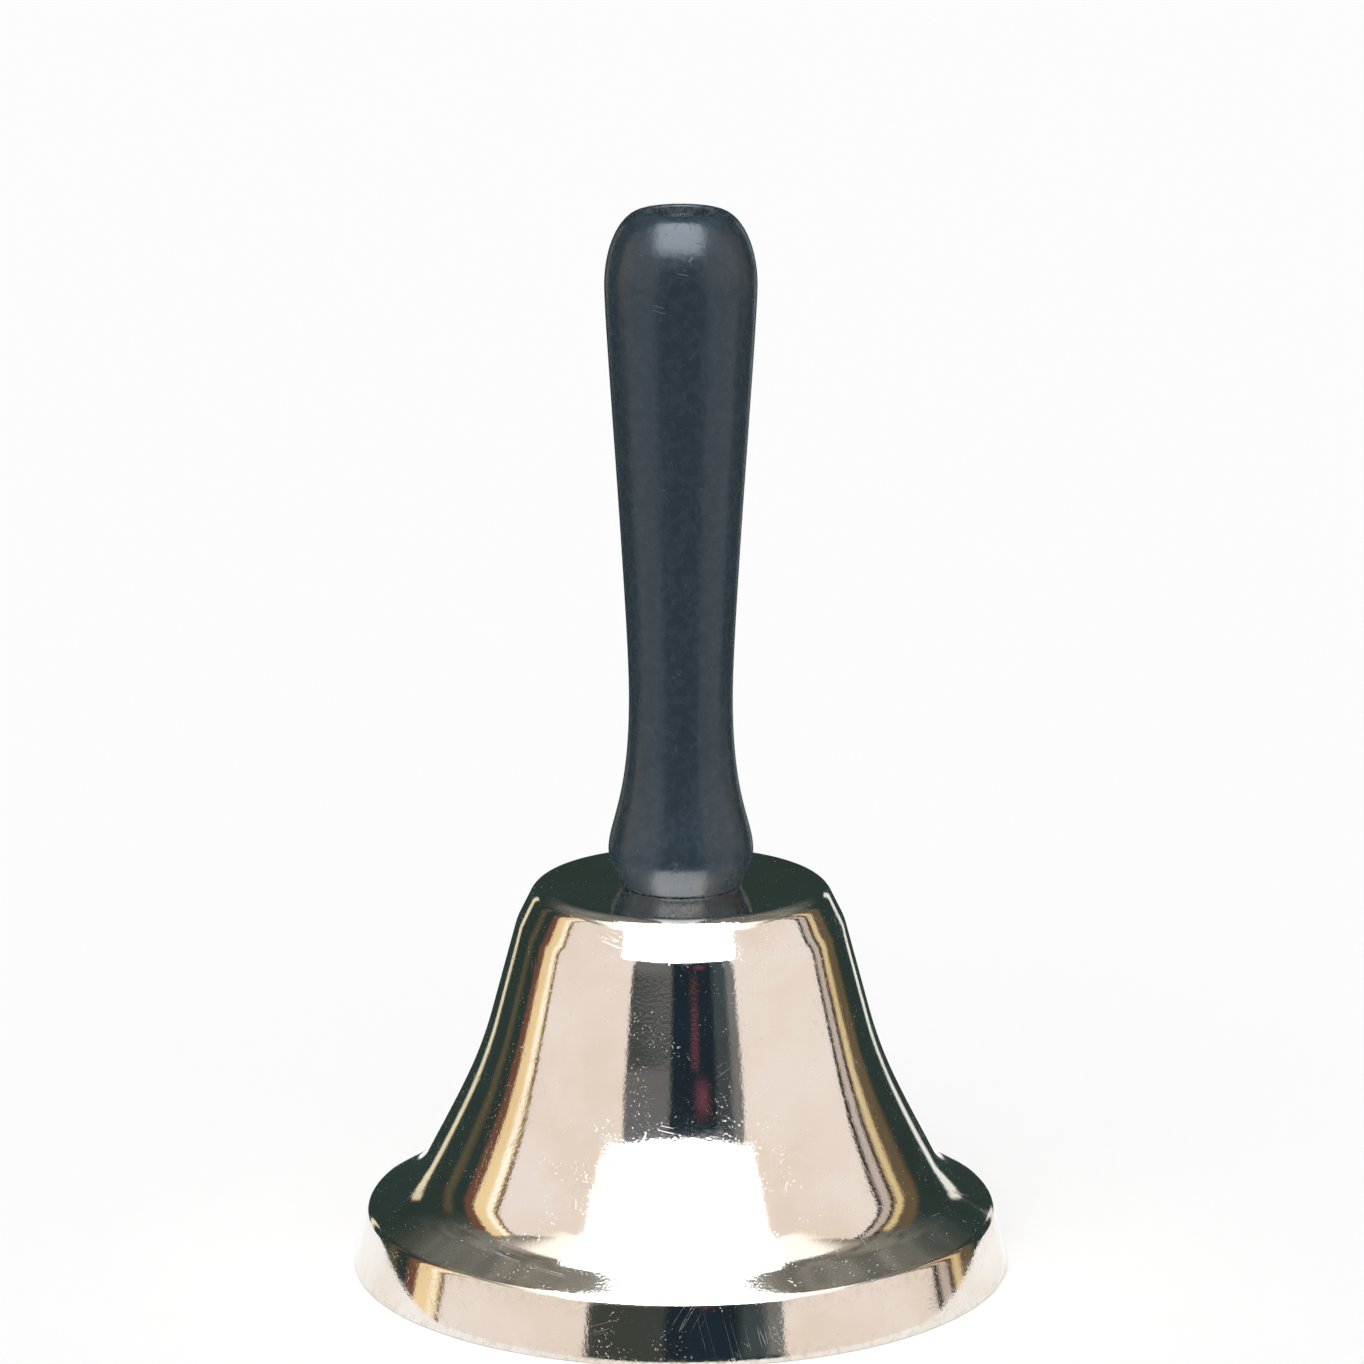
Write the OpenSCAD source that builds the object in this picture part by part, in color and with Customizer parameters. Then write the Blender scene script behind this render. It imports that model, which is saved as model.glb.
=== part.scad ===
// Hand bell: a thin flared metal cup on a turned wooden handle. One long eye bolt
// runs down through the handle and the cup's crown and clamps them between two nuts.
// Its eye carries a ring, and the clapper hangs from the ring inside the cup.
// Millimetres. +Z is up along the bell's axis; the mouth lies in the plane z = 0.

/* [Cup] */
// Outer diameter of the mouth at its bottom edge
mouth_d = 116.5; // [96:0.5:140]
// Height of the cup from the mouth to the flat crown
cup_h = 69.8; // [57:0.1:84]
// Thickness of the metal, the same all over
wall = 1.5; // [1:0.1:1.8]
// Height of the lip band
lip_h = 10.75; // [9:0.05:13]
// How far the lip band leans in between its bottom and its top
lip_draw = 2.45; // [1.5:0.05:3.5]
// Radius of the rounded shoulder at the top of the lip band
lip_round = 2.0; // [1.9:0.1:2.6]
// How far the steep ledge above the lip band runs in
ledge_in = 8.6; // [7:0.1:10]
// How far that ledge rises
ledge_rise = 4.95; // [4:0.05:6]
// Radius of the hollow bend where the ledge turns up into the flare
ledge_round = 12; // [8:0.5:14]
// Radius at the middle of the flare, where its two slopes would meet
flare_d = 70.8; // [64:0.1:78]
// Height of that point above the mouth
flare_z = 39.1; // [34:0.1:42]
// Radius of the long hollow curve of the flare
flare_round = 54; // [35:1:60]
// Diameter at the crown's corner, before rounding
crown_d = 54.4; // [48:0.1:60]
// Radius that rounds the crown's corner
crown_round = 5; // [4:0.1:6.5]

/* [Handle] */
// Length of the handle from the crown to its top
handle_len = 120.2; // [100:0.1:145]
// Diameter of the foot where it meets the crown
foot_d = 20.6; // [18:0.1:22]
// Diameter of the bead just above the foot
bead_d = 25.6; // [23.5:0.1:31]
// Height of the bead's widest place above the crown
bead_z = 6.2; // [5:0.1:8]
// Diameter of the narrow neck
neck_d = 18.3; // [15.2:0.1:22]
// Height of the narrowest place above the crown
neck_z = 33.7; // [30:0.1:42]
// Greatest diameter of the grip
grip_d = 26.6; // [23:0.1:32]
// Depth of the grip's widest place below the top of the handle
grip_drop = 13; // [10:0.1:16]
// Diameter of the flat ring on top of the handle
top_flat_d = 13.0; // [12.6:0.1:15]
// Diameter of the recess in the top for the nut
recess_d = 10.8; // [10.2:0.1:12]
// Depth of that recess
recess_depth = 6.6; // [6:0.1:8]

/* [Eye bolt and its nuts] */
// Diameter of the bolt
bolt_d = 5; // [4:0.1:5.2]
// Diameter of the wire of the bolt's eye
eye_wire_d = 3.5; // [3:0.1:3.8]
// Mean radius of the eye
eye_r = 4.5; // [4.3:0.1:5.5]
// Length of plain bolt between the lower nut and the eye
eye_neck = 0.5; // [0.3:0.1:3]
// Width of a nut across its flats
nut_af = 8; // [7:0.1:8.2]
// Height of a nut
nut_h = 4; // [3.2:0.1:4.8]
// How far the bolt stands past the upper nut
bolt_past = 0.7; // [0.3:0.1:1.2]
// Diameter of the washer under the upper nut
top_washer_d = 10; // [9.2:0.1:10]
// Diameter of the washer inside the crown
crown_washer_d = 20; // [14:0.5:30]
// Thickness of both washers
washer_t = 1; // [0.8:0.1:1.4]

/* [Clapper] */
// Diameter of the wire of the ring that joins the bolt's eye to the clapper
ring_wire_d = 2.2; // [1.8:0.1:2.4]
// Mean radius of that ring
ring_r = 4.6; // [4.5:0.1:5.6]
// Diameter of the wire of the clapper's eye
clapper_wire_d = 2.4; // [2:0.1:2.6]
// Mean radius of the clapper's eye
clapper_eye_r = 3.6; // [3.5:0.1:4.2]
// Diameter of the clapper's rod
clapper_rod_d = 3; // [2.4:0.1:4]
// Diameter of the clapper's ball
ball_d = 20; // [16:0.5:24]
// Height of the ball's underside above the mouth
ball_rise = 2.5; // [1.5:0.1:14]
// Diameter of the riveted head under the ball
head_d = 5.2; // [4.6:0.1:6]
// Thickness of that head
head_t = 0.9; // [0.6:0.1:1.2]

/* [Fits] */
// Gap between a hole and the bolt or rod that runs through it, all round
hole_gap = 0.15; // [0.1:0.05:0.4]
// Gap between linked wires, where one hangs in the other
link_gap = 0.3; // [0.2:0.05:0.3]

/* [Hidden] */

mouth_r = mouth_d / 2;
bolt_r = bolt_d / 2;
handle_top = cup_h + handle_len;
hex = 6;                     // sides of a nut
fine = 72;                   // segments of a plain round
arc_steps = [5, 7, 12, 8];   // steps along each rounded corner of the cup
foot_steps = 6;
bead_steps = 14;
grip_steps = 20;
dome_steps = 12;
foot_lip = 0.5;              // how far the foot's bottom edge is rounded in
foot_band = 0.6;             // height at which the foot's curve begins
foot_edge = [0.35, 0.2];     // size of the small bevel on the foot's bottom edge
foot_pull = [1.4, 2.4];      // how far the foot's curve runs on at its bottom and top
bead_pull = 5;               // how far the bead's curve holds on above and below it
neck_pull = [18.6, 14.9];    // how far the neck's curve runs straight below and above
grip_pull = 7.7;             // how far the grip's curve holds on below its widest place

// Corners of the cup's outer outline as [radius, height, rounding], mouth to crown
cup_corners = [
    [mouth_r, 0, 0],
    [mouth_r - lip_draw, lip_h, lip_round],
    [mouth_r - lip_draw - ledge_in, lip_h + ledge_rise, ledge_round],
    [flare_d / 2, flare_z, flare_round],
    [crown_d / 2, cup_h, crown_round],
    [bolt_r + hole_gap, cup_h, 0]
];

// Heights of the pieces that hang inside, from the crown down
crown_in = cup_h - wall;
lower_nut_top = crown_in - washer_t;
lower_nut_bottom = lower_nut_top - nut_h;
eye_z = lower_nut_bottom - eye_neck - eye_wire_d / 2 - eye_r;
ring_pivot_z = eye_z - eye_r;
ring_z = ring_pivot_z + eye_wire_d / 2 + link_gap + ring_wire_d / 2 - ring_r;
clapper_pivot_z = ring_z - ring_r;
clapper_eye_z = clapper_pivot_z + ring_wire_d / 2 + link_gap + clapper_wire_d / 2
                - clapper_eye_r;
ball_z = ball_rise + ball_d / 2;
head_seat_z = ball_rise + head_t / 2;   // the ball rests on the head in a shallow sinking

// Heights of the pieces in the handle's recess
recess_z = handle_top - recess_depth;
upper_nut_z = recess_z + washer_t;
bolt_top = upper_nut_z + nut_h + bolt_past;

function unit(v) = v / norm(v);
function left(v) = [-v.y, v.x];
function flat(p) = [p[0], p[1]];
function wrap(a) = a > 180 ? a - 360 : a < -180 ? a + 360 : a;

// Points along the arc that rounds the corner p, between its neighbours a and b
function corner_arc(a, p, b, r, steps) =
    let (u = unit(a - p), w = unit(b - p), half = acos(u * w) / 2,
         c = p + unit(u + w) * r / sin(half),
         s = p + u * r / tan(half), e = p + w * r / tan(half),
         a0 = atan2(s.y - c.y, s.x - c.x),
         turn = wrap(atan2(e.y - c.y, e.x - c.x) - a0))
    [for (k = [0 : steps]) c + r * [cos(a0 + turn * k / steps), sin(a0 + turn * k / steps)]];

function rounded(corners) =
    let (last = len(corners) - 1)
    concat([flat(corners[0])],
           [for (i = [1 : last - 1])
                for (q = corner_arc(flat(corners[i - 1]), flat(corners[i]),
                                    flat(corners[i + 1]), corners[i][2], arc_steps[i - 1])) q],
           [flat(corners[last])]);

// The corner moved in by d, so that both lines that meet there move in by d
function moved_corner(a, p, b, d) =
    let (n1 = left(unit(p - a)), n2 = left(unit(b - p)), m = unit(n1 + n2))
    p + m * d / (m * n1);

// Which way the outline bends at p: 1 where it bends over, -1 where it is hollow
function bend(a, p, b) = sign((p - a).x * (b - p).y - (p - a).y * (b - p).x);

// The inner outline's corners: the outer ones moved in by the wall, on the same arcs
function inner_corners(c, d) =
    let (last = len(c) - 1, n0 = left(unit(flat(c[1]) - flat(c[0]))))
    concat([[c[0][0] + d / n0.x, c[0][1], 0]],
           [for (i = [1 : last - 1])
                let (a = flat(c[i - 1]), p = flat(c[i]), b = flat(c[i + 1]),
                     q = moved_corner(a, p, b, d))
                [q.x, q.y, c[i][2] - d * bend(a, p, b)]],
           [[c[last][0], c[last][1] - d, 0]]);

// Points of a cubic curve through a and b with handles p and q, leaving out b
function curve(a, p, q, b, steps) =
    [for (k = [0 : steps - 1])
        let (t = k / steps, s = 1 - t)
        a * s * s * s + p * 3 * t * s * s + q * 3 * t * t * s + b * t * t * t];

function backwards(v) = [for (i = [len(v) - 1 : -1 : 0]) v[i]];

// The handle's outline from the axis at the foot to the axis at the top
function handle_outline() =
    let (foot = [foot_d / 2, cup_h], bead = [bead_d / 2, cup_h + bead_z],
         neck = [neck_d / 2, cup_h + neck_z],
         grip = [grip_d / 2, handle_top - grip_drop],
         band = foot + [foot_lip, foot_band])
    concat(
        [[0, cup_h], foot, foot + foot_edge],
        curve(band, band + [foot_lip, foot_pull[0]], bead - [0, foot_pull[1]], bead,
              foot_steps),
        curve(bead, bead + [0, bead_pull], neck - [0, neck_pull[0]], neck, bead_steps),
        curve(neck, neck + [0, neck_pull[1]], grip - [0, grip_pull], grip, grip_steps),
        [for (k = [0 : dome_steps])
            let (a = 90 * k / dome_steps)
            [top_flat_d / 2 + (grip_d - top_flat_d) / 2 * cos(a),
             handle_top - grip_drop + grip_drop * sin(a)]],
        [[0, handle_top]]);

module bell_cup() {
    color([0.86, 0.83, 0.79])
    rotate_extrude($fn = fine)
    polygon(concat(rounded(cup_corners),
                   backwards(rounded(inner_corners(cup_corners, wall)))));
}

module handle() {
    color([0.20, 0.25, 0.29])
    difference() {
        rotate_extrude($fn = fine) polygon(handle_outline());
        translate([0, 0, cup_h - washer_t])
            cylinder(r = bolt_r + hole_gap, h = handle_len + 2 * washer_t, $fn = fine);
        translate([0, 0, recess_z])
            cylinder(d = recess_d, h = recess_depth + washer_t, $fn = fine);
    }
}

// A ring of round wire, standing up with its hole facing along Y
module wire_ring(mean_r, wire_d) {
    rotate([90, 0, 0])
    rotate_extrude($fn = fine) translate([mean_r, 0]) circle(d = wire_d, $fn = fine);
}

module eye_bolt() {
    color([0.62, 0.62, 0.60])
    union() {
        translate([0, 0, eye_z + eye_r])
            cylinder(r = bolt_r, h = bolt_top - eye_z - eye_r, $fn = fine);
        translate([0, 0, eye_z]) wire_ring(eye_r, eye_wire_d);
    }
}

module nut(z) {
    translate([0, 0, z])
    difference() {
        cylinder(r = nut_af / 2 / cos(180 / hex), h = nut_h, $fn = hex);
        translate([0, 0, -washer_t])
            cylinder(r = bolt_r + hole_gap, h = nut_h + 2 * washer_t, $fn = fine);
    }
}

module washer(z, outer_d) {
    translate([0, 0, z])
    difference() {
        cylinder(d = outer_d, h = washer_t, $fn = fine);
        translate([0, 0, -washer_t])
            cylinder(r = bolt_r + hole_gap, h = 3 * washer_t, $fn = fine);
    }
}

module top_nut() { color([0.70, 0.70, 0.68]) nut(upper_nut_z); }
module top_washer() { color([0.66, 0.66, 0.64]) washer(recess_z, top_washer_d); }
module crown_nut() { color([0.70, 0.70, 0.68]) nut(lower_nut_bottom); }
module crown_washer() { color([0.66, 0.66, 0.64]) washer(lower_nut_top, crown_washer_d); }

module hanger_ring() {
    color([0.68, 0.67, 0.64])
    translate([0, 0, ring_z]) rotate([0, 0, 90]) wire_ring(ring_r, ring_wire_d);
}

module clapper_rod() {
    color([0.60, 0.59, 0.57])
    union() {
        translate([0, 0, clapper_eye_z]) wire_ring(clapper_eye_r, clapper_wire_d);
        translate([0, 0, head_seat_z])
            cylinder(d = clapper_rod_d, h = clapper_eye_z - clapper_eye_r - head_seat_z,
                     $fn = fine);
        translate([0, 0, head_seat_z - head_t])
            cylinder(d = head_d, h = head_t, $fn = fine);
    }
}

module clapper_ball() {
    color([0.78, 0.76, 0.72])
    difference() {
        translate([0, 0, ball_z]) sphere(d = ball_d, $fn = fine);
        translate([0, 0, ball_rise - head_t])
            cylinder(d = clapper_rod_d + 2 * hole_gap, h = ball_d + 2 * head_t, $fn = fine);
        translate([0, 0, head_seat_z - ball_d])
            cylinder(d = head_d + 2 * hole_gap, h = ball_d, $fn = fine);
    }
}

bell_cup();
handle();
eye_bolt();
top_nut();
top_washer();
crown_nut();
crown_washer();
hanger_ring();
clapper_rod();
clapper_ball();
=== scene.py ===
"""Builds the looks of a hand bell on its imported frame.

The bell is a thin nickel-plated cup on a turned, painted wooden handle. A long eye bolt clamps the two
together, and its eye carries the ring and the clapper inside the cup. The fields give sizes in
millimetres; meshes are in metres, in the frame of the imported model.
"""

import logging
import math
from abc import ABC, abstractmethod
from dataclasses import dataclass, field, replace
from enum import Enum
from typing import Sequence

import bmesh
import bpy
from mathutils import Euler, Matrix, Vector

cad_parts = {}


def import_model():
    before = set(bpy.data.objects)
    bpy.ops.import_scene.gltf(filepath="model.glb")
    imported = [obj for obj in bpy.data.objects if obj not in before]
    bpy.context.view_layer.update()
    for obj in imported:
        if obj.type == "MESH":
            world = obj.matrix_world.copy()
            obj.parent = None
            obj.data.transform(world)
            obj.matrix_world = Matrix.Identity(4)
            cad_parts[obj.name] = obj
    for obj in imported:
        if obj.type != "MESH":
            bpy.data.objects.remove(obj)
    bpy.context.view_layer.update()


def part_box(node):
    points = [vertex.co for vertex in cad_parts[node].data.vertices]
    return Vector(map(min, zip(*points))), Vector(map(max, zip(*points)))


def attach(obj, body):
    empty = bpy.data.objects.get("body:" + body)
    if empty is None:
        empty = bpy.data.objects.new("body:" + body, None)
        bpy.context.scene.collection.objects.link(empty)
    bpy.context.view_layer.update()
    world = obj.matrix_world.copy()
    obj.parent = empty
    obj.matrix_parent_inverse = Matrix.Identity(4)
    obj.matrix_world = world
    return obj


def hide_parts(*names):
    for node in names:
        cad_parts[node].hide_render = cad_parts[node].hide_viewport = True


MM = 0.001
LOG = logging.getLogger("hand_bell")

Pair = tuple[float, float]
Colour = tuple[float, float, float]
Triple = tuple[float, float, float]
Socket = bpy.types.NodeSocket
Feed = Socket | float | int | str | bool | tuple | None


class Body(Enum):
    """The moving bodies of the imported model."""

    BELL = "bell"
    RING = "ring"
    CLAPPER = "clapper"


class MaterialSlot(Enum):
    """The record's material slots."""

    CUP = "cup_nickel"
    HANDLE = "handle_wood"
    HARDWARE = "steel_hardware"
    CLAPPER = "clapper_steel"


class Mark(Enum):
    """The measures that every turned or drawn skin carries for its finish."""

    WEAR = "wear"
    RUN = "run"
    INSIDE = "inside"
    THICKNESS = "thickness"


# ---------------------------------------------------------------- node wiring


class Graph:
    """Short calls for adding and wiring the nodes of one tree."""

    def __init__(self, tree: bpy.types.NodeTree) -> None:
        """Starts on a tree.

        Args:
            tree: The shader or geometry tree that takes the nodes.
        """
        self.tree = tree

    def node(
        self, kind: str, feeds: dict[str | int, Feed] | None = None, **settings: object
    ) -> bpy.types.Node:
        """Adds one node.

        Args:
            kind: The node's type.
            feeds: What each input takes, by its name or place: a socket to wire from, or a plain value.
            settings: The node's own properties.

        Returns:
            The new node.
        """
        made = self.tree.nodes.new(kind)
        for key, value in settings.items():
            setattr(made, key, value)
        for key, value in (feeds or {}).items():
            if isinstance(value, Socket):
                self.tree.links.new(value, made.inputs[key])
            else:
                made.inputs[key].default_value = value
        return made

    def math(self, operation: str, *values: Feed) -> Socket:
        """Adds a Math node and returns its result."""
        return self.node("ShaderNodeMath", dict(enumerate(values)), operation=operation).outputs[0]

    def product(self, shares: Sequence[Socket]) -> Socket:
        """Multiplies several shares together.

        Args:
            shares: The shares, each from 0 to 1.

        Returns:
            Their product.
        """
        total = shares[0]
        for share in shares[1:]:
            total = self.math("MULTIPLY", total, share)
        return total

    def vector(self, operation: str, *values: Feed) -> Socket:
        """Adds a Vector Math node and returns its vector."""
        return self.node("ShaderNodeVectorMath", dict(enumerate(values)), operation=operation).outputs[0]

    def combine(self, x: Feed, y: Feed, z: Feed) -> Socket:
        """Makes a vector of three numbers."""
        return self.node("ShaderNodeCombineXYZ", {0: x, 1: y, 2: z}).outputs[0]

    def split(self, vector: Socket) -> tuple[Socket, Socket, Socket]:
        """Takes a vector apart into its three numbers."""
        made = self.node("ShaderNodeSeparateXYZ", {0: vector})
        return made.outputs[0], made.outputs[1], made.outputs[2]

    def ramp(self, value: Socket, low: float, high: float, start: float = 0.0, end: float = 1.0) -> Socket:
        """Runs smoothly from start to end while value runs from low to high.

        Args:
            value: The number that drives the ramp.
            low: Where the ramp begins.
            high: Where it ends.
            start: What it gives up to low.
            end: What it gives from high on.

        Returns:
            The ramp's result.
        """
        feeds = {0: value, 1: low, 2: high, 3: start, 4: end}
        return self.node("ShaderNodeMapRange", feeds, interpolation_type="SMOOTHSTEP").outputs[0]

    def mix(self, share: Feed, first: Feed, second: Feed) -> Socket:
        """Mixes two colours.

        Args:
            share: How much of the second colour shows.
            first: The colour at share 0.
            second: The colour at share 1.

        Returns:
            The mixed colour.
        """
        feeds = {0: share, 6: solid(first), 7: solid(second)}
        return self.node("ShaderNodeMix", feeds, data_type="RGBA").outputs[2]

    def noise(
        self, place: Socket, size: float, detail: float = 2.0, bend: float = 0.0, seed: float = 0.0
    ) -> Socket:
        """Adds a cloudy pattern.

        Args:
            place: Where on the surface.
            size: Size of a cloud in millimetres, or 1 where place is already stretched to clouds.
            detail: How many finer layers it has.
            bend: How much it is stirred.
            seed: Which pattern it is.

        Returns:
            The pattern's value, about 0.5 in the middle.
        """
        scale = 1.0 if size == 1 else 1.0 / (size * MM)
        feeds = {"Vector": place, "W": seed, "Scale": scale, "Detail": detail, "Distortion": bend}
        return self.node("ShaderNodeTexNoise", feeds, noise_dimensions="4D").outputs[0]

    def place(self) -> Socket:
        """Gives the place on the piece, in the piece's own frame."""
        return self.node("ShaderNodeTexCoord").outputs["Object"]

    def mark(self, mark: Mark) -> Socket:
        """Gives a measure that the skin carries."""
        return self.node("ShaderNodeAttribute", attribute_name=mark.value).outputs["Fac"]

    def skin_place(self, reach: float) -> Socket:
        """Gives the place on a turned skin laid out flat: the way round and the way along the outline.

        Args:
            reach: The radius in millimetres at which both ways are true to size.

        Returns:
            The place on the flat skin, in metres.
        """
        x, y, _ = self.split(self.place())
        turn = self.math("ARCTAN2", x, self.math("MULTIPLY", y, -1.0))
        return self.combine(self.math("MULTIPLY", turn, reach * MM), self.mark(Mark.RUN), 0.0)

    def stretched(self, turn: Triple, sizes: Triple, place: Socket | None = None) -> Socket:
        """Gives the place on the piece, turned and then stretched.

        Args:
            turn: The turn about each axis, in degrees.
            sizes: How long one cloud is along each turned axis, in millimetres.
            place: Another place to start from.

        Returns:
            The stretched place.
        """
        angles = tuple(math.radians(angle) for angle in turn)
        feeds = {"Vector": place or self.place(), "Rotation": angles}
        turned = self.node("ShaderNodeMapping", feeds).outputs[0]
        return self.vector("MULTIPLY", turned, tuple(1.0 / (size * MM) for size in sizes))

    def bump(self, height: Socket, rise: float, below: Socket | None = None) -> Socket:
        """Raises the surface by a pattern.

        Args:
            height: The pattern, 0 to 1.
            rise: How high 1 stands, in millimetres.
            below: The bumps that these lie on.

        Returns:
            The bumped surface direction.
        """
        feeds: dict[str | int, Feed] = {"Height": height, "Distance": rise * MM, "Strength": 1.0}
        if below is not None:
            feeds["Normal"] = below
        return self.node("ShaderNodeBump", feeds).outputs[0]


def solid(colour: Feed) -> Feed:
    """Gives a plain colour its alpha, and leaves a socket as it is."""
    return (*colour, 1.0) if isinstance(colour, tuple) and len(colour) == 3 else colour


# ---------------------------------------------------------------- finishes


@dataclass(frozen=True)
class Finish(ABC):
    """A surface finish, made as one node material."""

    name: str = "finish"

    def material(self) -> bpy.types.Material:
        """Makes the finish's material, or gives the one already made.

        Returns:
            The material.
        """
        made = bpy.data.materials.get(self.name)
        if made is None:
            made = bpy.data.materials.new(self.name)
            made.use_nodes = True
            shader = made.node_tree.nodes["Principled BSDF"]
            graph = Graph(made.node_tree)
            for key, value in self.dress(graph).items():
                if isinstance(value, Socket):
                    graph.tree.links.new(value, shader.inputs[key])
                else:
                    shader.inputs[key].default_value = solid(value)
        return made

    @abstractmethod
    def dress(self, graph: Graph) -> dict[str, Feed]:
        """Wires the finish.

        Args:
            graph: The material's nodes.

        Returns:
            What each input of the surface shader takes.
        """


def hairlines(graph: Graph, skin: Socket, turns: Sequence[float], length: float, width: float) -> Socket:
    """Makes sparse, fine, nearly straight scratches in several directions.

    Args:
        graph: The material's nodes.
        skin: The place on the flat skin.
        turns: One turn for each direction of scratches, in degrees.
        length: Typical length of a scratch in millimetres.
        width: How wide a scratch is, against a distance of 0.5 between two.

    Returns:
        1 in a scratch and 0 beside it.
    """
    total: Feed = 0.0
    for number, turn in enumerate(turns):
        stretched = graph.stretched((0.0, 0.0, turn), (5.0 * length, 1.3, 1.0), skin)
        value = graph.noise(stretched, 1, 0.0, seed=3.1 * number)
        line = graph.ramp(graph.math("ABSOLUTE", graph.math("SUBTRACT", value, 0.5)), 0.0, width, 1.0, 0.0)
        kept = graph.ramp(graph.noise(skin, length, 2.0, seed=9.7 + number), 0.60, 0.68)
        total = graph.math("MAXIMUM", total, graph.math("MULTIPLY", line, kept))
    return total


@dataclass(frozen=True)
class PolishedNickel(Finish):
    """Bright nickel plate on the cup's outside, with handling marks and small pits."""

    name: str = "polished_nickel"
    bright: Colour = (0.85, 0.80, 0.75)
    warm: Colour = (0.80, 0.72, 0.63)
    tarnish: Colour = (0.42, 0.36, 0.29)
    gloss: float = 0.045

    def dress(self, graph: Graph) -> dict[str, Feed]:
        """Wires bright metal, smudges, hairlines, pits and the fine skin of the plate.

        Args:
            graph: The material's nodes.

        Returns:
            What each input of the surface shader takes.
        """
        place = graph.place()
        wear = graph.mark(Mark.WEAR)
        cloud = graph.ramp(graph.noise(place, 16.0, 3.0, 0.4), 0.36, 0.66)
        smudge = graph.ramp(graph.noise(place, 7.0, 4.0, 1.2, seed=4.0), 0.52, 0.74)
        scratch = hairlines(graph, graph.skin_place(42.0), (9.0, 51.0, -24.0, 80.0, -66.0), 13.0, 0.010)
        cells = graph.node(
            "ShaderNodeTexVoronoi",
            {"Vector": place, "W": 2.0, "Scale": 1.0 / (1.6 * MM)},
            voronoi_dimensions="4D",
        )
        chosen = graph.ramp(graph.split(cells.outputs["Color"])[0], 0.62, 0.66)
        pit = graph.math("MULTIPLY", graph.ramp(cells.outputs["Distance"], 0.05, 0.12, 1.0, 0.0), chosen)
        colour = graph.mix(cloud, self.bright, self.warm)
        scuff = graph.ramp(graph.noise(place, 1.4, 3.0, 0.5, seed=7.0), 0.45, 0.66)
        worn = graph.math("MULTIPLY", wear, scuff)
        colour = graph.mix(graph.math("MULTIPLY", worn, 0.55), colour, self.tarnish)
        colour = graph.mix(graph.math("MULTIPLY", pit, 0.8), colour, self.tarnish)
        rough = graph.math("MULTIPLY_ADD", smudge, 0.035, self.gloss)
        rough = graph.math("MULTIPLY_ADD", cloud, 0.02, rough)
        rough = graph.math("MAXIMUM", rough, graph.math("MULTIPLY", scratch, 0.30))
        patchy = graph.ramp(graph.noise(place, 5.0, 2.0, seed=11.0), 0.40, 0.60)
        speck = graph.ramp(graph.noise(place, 0.45, 1.0, seed=9.0), 0.61, 0.69)
        dust = graph.math("MULTIPLY", speck, patchy)
        rough = graph.math("MAXIMUM", rough, graph.math("MULTIPLY", dust, 0.34))
        rough = graph.math("MULTIPLY_ADD", worn, 0.22, rough)
        skin = graph.bump(graph.noise(place, 0.5, 1.0, seed=1.0), 0.0075)
        skin = graph.bump(graph.noise(place, 6.0, 1.0, seed=2.0), 0.016, skin)
        rings = graph.noise(graph.combine(graph.mark(Mark.RUN), 0.0, 0.0), 0.7, 1.0, seed=5.0)
        skin = graph.bump(rings, 0.0012, skin)
        skin = graph.bump(graph.math("MAXIMUM", pit, scratch), -0.003, skin)
        return {"Base Color": colour, "Metallic": 1.0, "Roughness": rough, "Normal": skin}


@dataclass(frozen=True)
class DullNickel(Finish):
    """The thin, unpolished plate inside the cup, with the rings that spinning left."""

    name: str = "dull_nickel"
    light: Colour = (0.66, 0.63, 0.59)
    dark: Colour = (0.48, 0.44, 0.39)

    def dress(self, graph: Graph) -> dict[str, Feed]:
        """Wires a dull metal with blotches and spinning rings.

        Args:
            graph: The material's nodes.

        Returns:
            What each input of the surface shader takes.
        """
        place = graph.place()
        blotch = graph.ramp(graph.noise(place, 9.0, 4.0, 0.8), 0.38, 0.66)
        rings = graph.noise(graph.combine(graph.mark(Mark.RUN), 0.0, 0.0), 0.8, 3.0, seed=5.0)
        grain = graph.noise(place, 0.7, 2.0, seed=3.0)
        colour = graph.mix(blotch, self.light, self.dark)
        colour = graph.mix(graph.ramp(rings, 0.3, 0.75, 0.0, 0.3), colour, self.dark)
        rough = graph.math("MULTIPLY_ADD", blotch, 0.16, 0.24)
        rough = graph.math("MULTIPLY_ADD", grain, 0.08, rough)
        skin = graph.bump(rings, 0.012)
        skin = graph.bump(grain, 0.006, skin)
        return {"Base Color": colour, "Metallic": 1.0, "Roughness": rough, "Normal": skin}


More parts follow.
